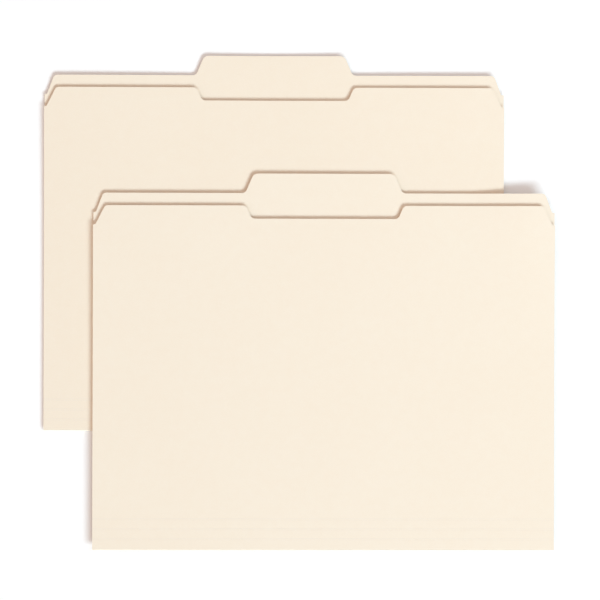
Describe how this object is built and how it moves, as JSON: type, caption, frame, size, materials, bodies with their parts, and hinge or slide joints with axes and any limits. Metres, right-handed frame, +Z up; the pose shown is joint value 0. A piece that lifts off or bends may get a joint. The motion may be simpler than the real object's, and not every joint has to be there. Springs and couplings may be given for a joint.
{
  "type": "file folder",
  "caption": "Letter-size card file folders with centre tabs, laid one on the other; their leaves open on the bottom folds and scored gussets let them fill.",
  "frame": {"origin": "middle of the overall outline, on the underside of the lower folder's back leaf", "axes": "+X to the right along the folds, +Y from the bottom folds towards the tabs, +Z up"},
  "size_m": [0.3274, 0.3172, 0.0047],
  "materials": {
    "manila_card": "matt buff card, faintly fibrous, a deeper tan on its cut edges"
  },
  "bodies": {
    "lower_back_leaf": {"lower_back_leaf": "manila_card"},
    "lower_bottom_fold": {"lower_bottom_fold": "manila_card"},
    "lower_gusset_strip_1": {"lower_gusset_strip_1": "manila_card"},
    "lower_gusset_strip_2": {"lower_gusset_strip_2": "manila_card"},
    "lower_gusset_strip_3": {"lower_gusset_strip_3": "manila_card"},
    "lower_front_leaf": {"lower_front_leaf": "manila_card"},
    "upper_back_leaf": {"upper_back_leaf": "manila_card"},
    "upper_bottom_fold": {"upper_bottom_fold": "manila_card"},
    "upper_gusset_strip_1": {"upper_gusset_strip_1": "manila_card"},
    "upper_gusset_strip_2": {"upper_gusset_strip_2": "manila_card"},
    "upper_gusset_strip_3": {"upper_gusset_strip_3": "manila_card"},
    "upper_front_leaf": {"upper_front_leaf": "manila_card"}
  },
  "joints": [
    {"name": "lower_folder_opens", "type": "hinge", "parent": "lower_bottom_fold", "child": "lower_back_leaf", "pos_m": [-0.016, -0.08175, 0.0009], "axis": [-1, 0, 0], "range_deg": [0, 180], "deforming": ["lower_bottom_fold"]},
    {"name": "lower_gusset_fills", "type": "hinge", "parent": "lower_bottom_fold", "child": "lower_gusset_strip_1", "pos_m": [-0.016, -0.0816, 0.00165], "axis": [1, 0, 0], "range_deg": [0, 90]},
    {"name": "lower_score_1_bends", "type": "hinge", "parent": "lower_gusset_strip_1", "child": "lower_gusset_strip_2", "pos_m": [-0.016, -0.07525, 0.00165], "axis": [1, 0, 0], "range_deg": [-30, 0]},
    {"name": "lower_score_2_bends", "type": "hinge", "parent": "lower_gusset_strip_2", "child": "lower_gusset_strip_3", "pos_m": [-0.016, -0.0689, 0.00165], "axis": [1, 0, 0], "range_deg": [-30, 0]},
    {"name": "lower_score_3_bends", "type": "hinge", "parent": "lower_gusset_strip_3", "child": "lower_front_leaf", "pos_m": [-0.016, -0.06255, 0.00165], "axis": [1, 0, 0], "range_deg": [-30, 0]},
    {"name": "upper_folder_lifts_off", "type": "slide", "parent": "lower_front_leaf", "child": "upper_back_leaf", "axis": [0, 0, 1], "range_m": [0, 0.12]},
    {"name": "upper_folder_opens", "type": "hinge", "parent": "upper_back_leaf", "child": "upper_bottom_fold", "pos_m": [0.016, -0.15775, 0.003], "axis": [1, 0, 0], "range_deg": [0, 180], "deforming": ["upper_bottom_fold"]},
    {"name": "upper_gusset_fills", "type": "hinge", "parent": "upper_bottom_fold", "child": "upper_gusset_strip_1", "pos_m": [0.016, -0.1576, 0.00375], "axis": [1, 0, 0], "range_deg": [0, 90]},
    {"name": "upper_score_1_bends", "type": "hinge", "parent": "upper_gusset_strip_1", "child": "upper_gusset_strip_2", "pos_m": [0.016, -0.15125, 0.00375], "axis": [1, 0, 0], "range_deg": [-30, 0]},
    {"name": "upper_score_2_bends", "type": "hinge", "parent": "upper_gusset_strip_2", "child": "upper_gusset_strip_3", "pos_m": [0.016, -0.1449, 0.00375], "axis": [1, 0, 0], "range_deg": [-30, 0]},
    {"name": "upper_score_3_bends", "type": "hinge", "parent": "upper_gusset_strip_3", "child": "upper_front_leaf", "pos_m": [0.016, -0.13855, 0.00375], "axis": [1, 0, 0], "range_deg": [-30, 0]}
  ],
  "couplings": [
    {"joint": "lower_score_1_bends", "follows": "lower_gusset_fills", "ratio": -0.33333},
    {"joint": "lower_score_2_bends", "follows": "lower_gusset_fills", "ratio": -0.33333},
    {"joint": "lower_score_3_bends", "follows": "lower_gusset_fills", "ratio": -0.33333},
    {"joint": "upper_score_1_bends", "follows": "upper_gusset_fills", "ratio": -0.33333},
    {"joint": "upper_score_2_bends", "follows": "upper_gusset_fills", "ratio": -0.33333},
    {"joint": "upper_score_3_bends", "follows": "upper_gusset_fills", "ratio": -0.33333}
  ]
}
